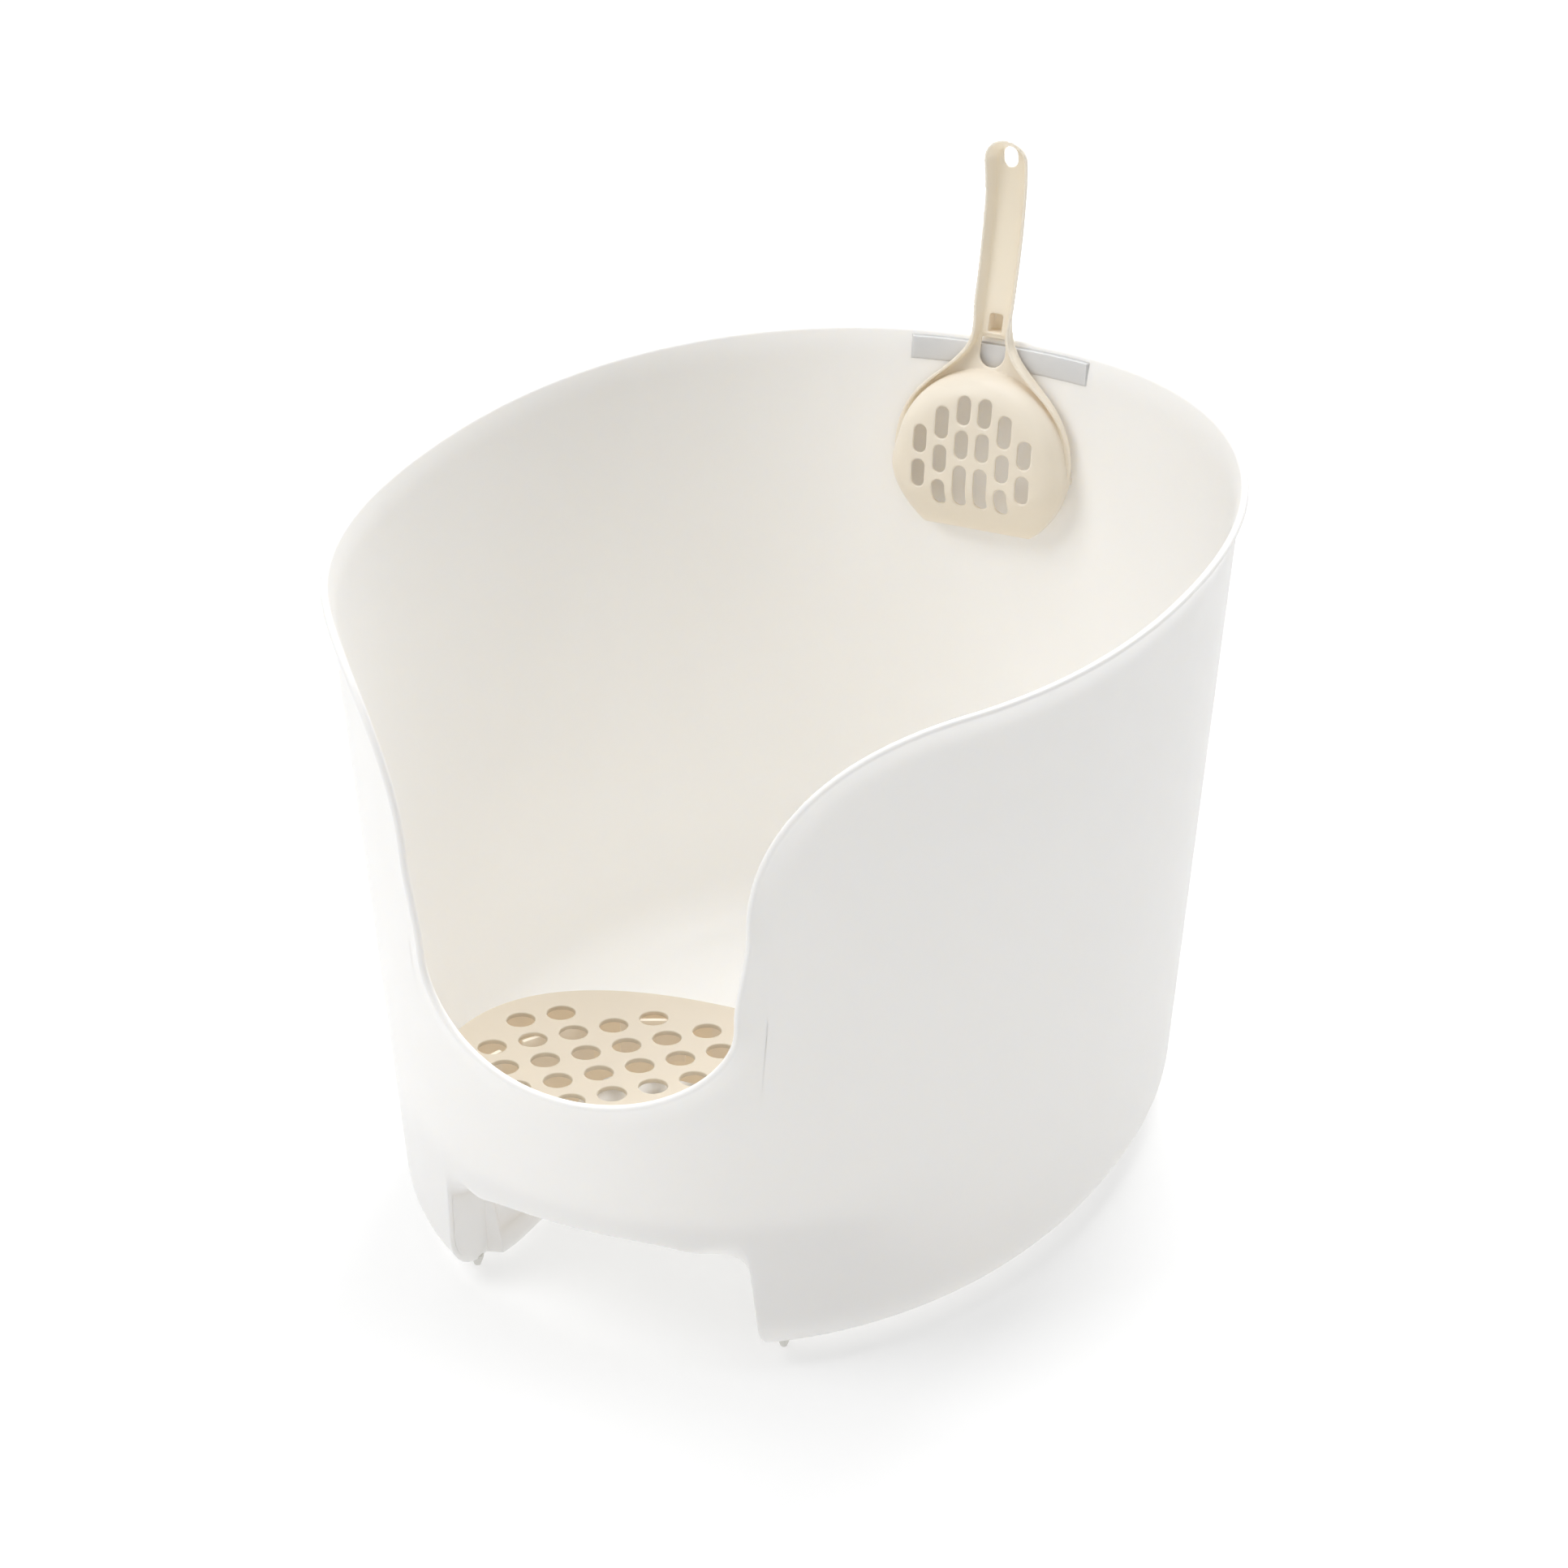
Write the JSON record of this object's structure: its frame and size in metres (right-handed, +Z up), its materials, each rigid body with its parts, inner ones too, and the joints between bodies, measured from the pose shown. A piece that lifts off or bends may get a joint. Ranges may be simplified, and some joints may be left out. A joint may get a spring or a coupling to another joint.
{
  "type": "cat litter box",
  "caption": "Open-topped high-walled cat litter tub with a low front entry, a lift-out perforated step inside the entry and a slotted scoop hooked over the rear rim.",
  "frame": {"origin": "centre of the footprint of the whole part, on the ground under the feet", "axes": "+Z up, the entry faces -Y, +X is the right-hand side seen from the front"},
  "size_m": [0.4642, 0.6001, 0.5071],
  "materials": {
    "tub_plastic": "satin moulded white",
    "cream_plastic": "satin moulded cream",
    "scoop_plastic": "satin moulded cream",
    "foot_plastic": "soft off-white studs"
  },
  "bodies": {
    "tub": {"tub": "tub_plastic", "foot_front_left": "foot_plastic", "foot_front_right": "foot_plastic", "foot_rear_left": "foot_plastic", "foot_rear_right": "foot_plastic"},
    "step": {"step_grate": "cream_plastic"},
    "scoop": {"scoop": "scoop_plastic"}
  },
  "joints": [
    {"name": "step_lift", "type": "slide", "parent": "tub", "child": "step", "axis": [0, 0, 1], "range_m": [0, 0.39]},
    {"name": "scoop_lift", "type": "slide", "parent": "tub", "child": "scoop", "axis": [0, 0, 1], "range_m": [0, 0.15]}
  ]
}
